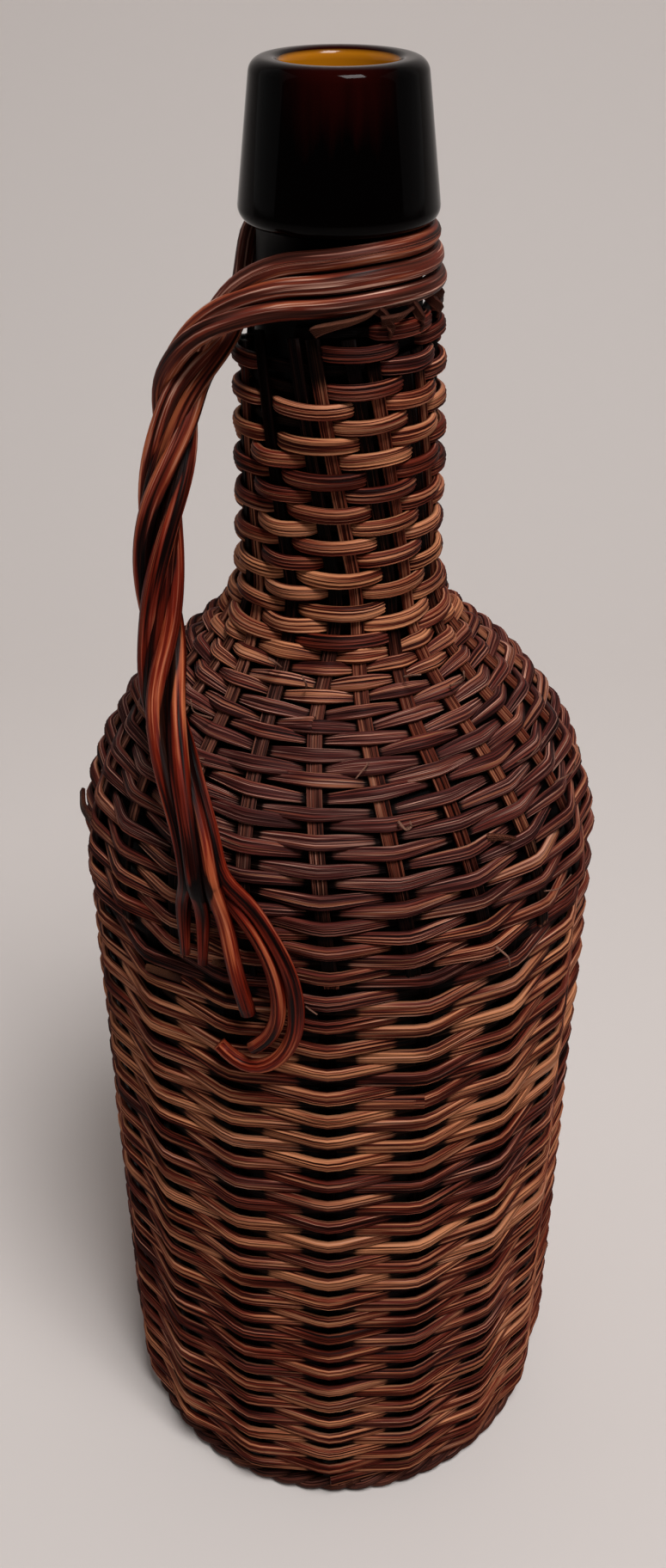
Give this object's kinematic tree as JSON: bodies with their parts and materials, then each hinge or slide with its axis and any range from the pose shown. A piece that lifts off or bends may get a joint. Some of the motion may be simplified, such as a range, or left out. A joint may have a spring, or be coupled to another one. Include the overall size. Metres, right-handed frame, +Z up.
{
  "type": "wicker demijohn",
  "caption": "Wicker demijohn: dark glass bottle with an open collared mouth, in a woven cane jacket with a twisted cane handle looped from neck to shoulder.",
  "frame": {"origin": "on the floor under the bottle's axis", "axes": "+Z up along the bottle's axis, -Y towards the front; the handle is at the front left"},
  "size_m": [0.1048, 0.1077, 0.305],
  "materials": {
    "bottle_glass": "very dark amber glass, glossy",
    "stake_cane": "dark weathered cane",
    "strip_cane": "weathered split cane",
    "weaver_mid": "weathered half-round cane, mid brown",
    "weaver_light": "weathered half-round cane, orange tan",
    "weaver_dark": "weathered half-round cane, dark brown",
    "foot_cane": "dark worn cane",
    "handle_cane": "polished worn cane"
  },
  "bodies": {
    "root": {"glass_bottle": "bottle_glass", "foot_ring": "foot_cane", "base_mat": "foot_cane", "stake_01": "stake_cane", "stake_02": "stake_cane", "stake_03": "stake_cane", "stake_04": "stake_cane", "stake_05": "stake_cane", "stake_06": "stake_cane", "stake_07": "stake_cane", "stake_08": "stake_cane", "stake_09": "stake_cane", "stake_10": "stake_cane", "stake_11": "stake_cane", "stake_12": "stake_cane", "stake_13": "stake_cane", "stake_14": "stake_cane", "stake_15": "stake_cane", "stake_16": "stake_cane", "stake_17": "stake_cane", "shoulder_strip_01": "strip_cane", "shoulder_strip_02": "strip_cane", "shoulder_strip_03": "strip_cane", "shoulder_strip_04": "strip_cane", "shoulder_strip_05": "strip_cane", "shoulder_strip_06": "strip_cane", "shoulder_strip_07": "strip_cane", "shoulder_strip_08": "strip_cane", "shoulder_strip_09": "strip_cane", "shoulder_strip_10": "strip_cane", "shoulder_strip_11": "strip_cane", "shoulder_strip_12": "strip_cane", "shoulder_strip_13": "strip_cane", "shoulder_strip_14": "strip_cane", "shoulder_strip_15": "strip_cane", "shoulder_strip_16": "strip_cane", "shoulder_strip_17": "strip_cane", "shoulder_strip_18": "strip_cane", "shoulder_strip_19": "strip_cane", "shoulder_strip_20": "strip_cane", "shoulder_strip_21": "strip_cane", "weaver_01": "weaver_light", "weaver_02": "weaver_dark", "weaver_03": "weaver_mid", "weaver_04": "weaver_light", "weaver_05": "weaver_dark", "weaver_06": "weaver_mid", "weaver_07": "weaver_light", "weaver_08": "weaver_dark", "handle_cane_low": "handle_cane", "handle_cane_mid": "handle_cane", "handle_cane_top": "handle_cane"}
  },
  "joints": []
}
